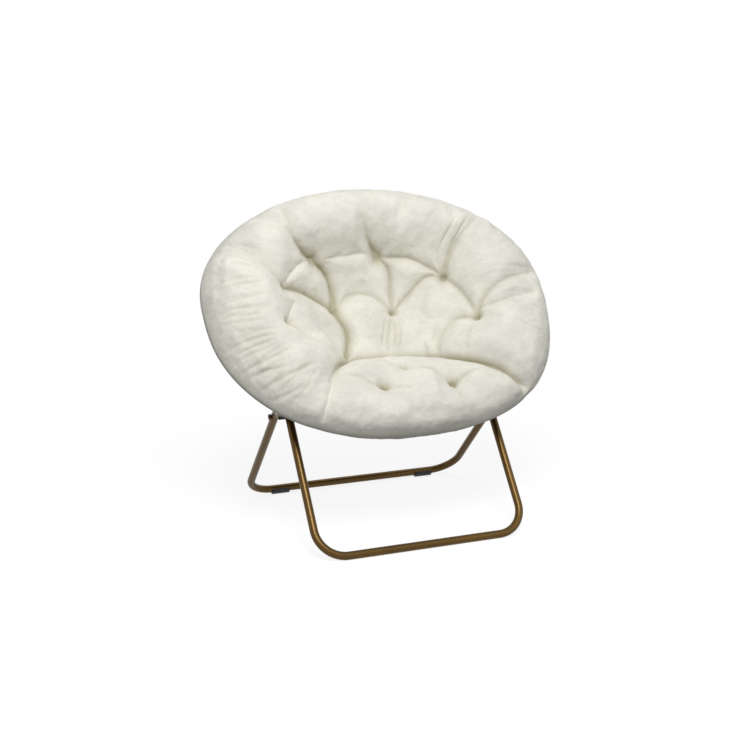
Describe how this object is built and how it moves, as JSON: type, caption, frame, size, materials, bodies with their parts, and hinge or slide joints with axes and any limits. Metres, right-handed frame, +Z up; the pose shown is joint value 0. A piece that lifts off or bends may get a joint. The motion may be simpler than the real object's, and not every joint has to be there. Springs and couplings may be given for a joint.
{
  "type": "folding saucer chair",
  "caption": "Folding saucer chair: a deep tufted plush bowl on a split ring, carried by two crossed U-shaped tube legs that fold together.",
  "frame": {"origin": "on the floor, under the middle of the chair's overall box", "axes": "+X across the chair, -Y is where the seat faces, +Z up"},
  "size_m": [0.9652, 0.5732, 0.8615],
  "materials": {
    "bronze_paint": "satin bronze powder coat",
    "steel": "plain zinc-plated steel",
    "black_plastic": "matte",
    "ivory_plush": "short-pile plush",
    "lining_cloth": "plain woven"
  },
  "bodies": {
    "front_frame": {"front_leg": "bronze_paint", "front_leg_plug_left": "black_plastic", "front_leg_plug_right": "black_plastic", "back_ring": "bronze_paint", "back_knuckle_left": "bronze_paint", "back_knuckle_right": "bronze_paint", "hinge_pin_left": "steel", "hinge_pin_right": "steel", "back_bracket_left": "bronze_paint", "back_bracket_right": "bronze_paint", "bracket_bolts_left": "steel", "bracket_bolts_right": "steel", "bracket_nuts_left": "steel", "bracket_nuts_right": "steel", "cross_bolt_left": "bronze_paint", "cross_bolt_right": "bronze_paint", "cross_nut_left": "bronze_paint", "cross_nut_right": "bronze_paint", "cross_spacer_left": "black_plastic", "cross_spacer_right": "black_plastic", "back_cushion": "ivory_plush", "back_tunnel": "lining_cloth", "back_tuft_knots": "ivory_plush"},
    "rear_frame": {"rear_leg": "bronze_paint", "rear_leg_plug_left": "black_plastic", "rear_leg_plug_right": "black_plastic", "hook_pin_left": "steel", "hook_pin_right": "steel", "floor_pad_left": "black_plastic", "floor_pad_right": "black_plastic"},
    "front_seat": {"front_ring": "bronze_paint", "front_knuckle_left": "bronze_paint", "front_knuckle_right": "bronze_paint", "hook_left": "bronze_paint", "hook_right": "bronze_paint", "seat_cushion": "ivory_plush", "seat_tunnel": "lining_cloth", "seat_tuft_knots": "ivory_plush"}
  },
  "joints": [
    {"name": "leg_fold", "type": "hinge", "parent": "front_frame", "child": "rear_frame", "pos_m": [0, -0.0304, 0.3137], "axis": [-1, 0, 0], "range_deg": [0, 75]},
    {"name": "seat_fold", "type": "hinge", "parent": "front_frame", "child": "front_seat", "pos_m": [0, -0.07387, 0.429], "axis": [-1, 0, 0], "range_deg": [0, 120]}
  ],
  "couplings": [
    {"joint": "seat_fold", "follows": "leg_fold", "ratio": 1.6}
  ]
}
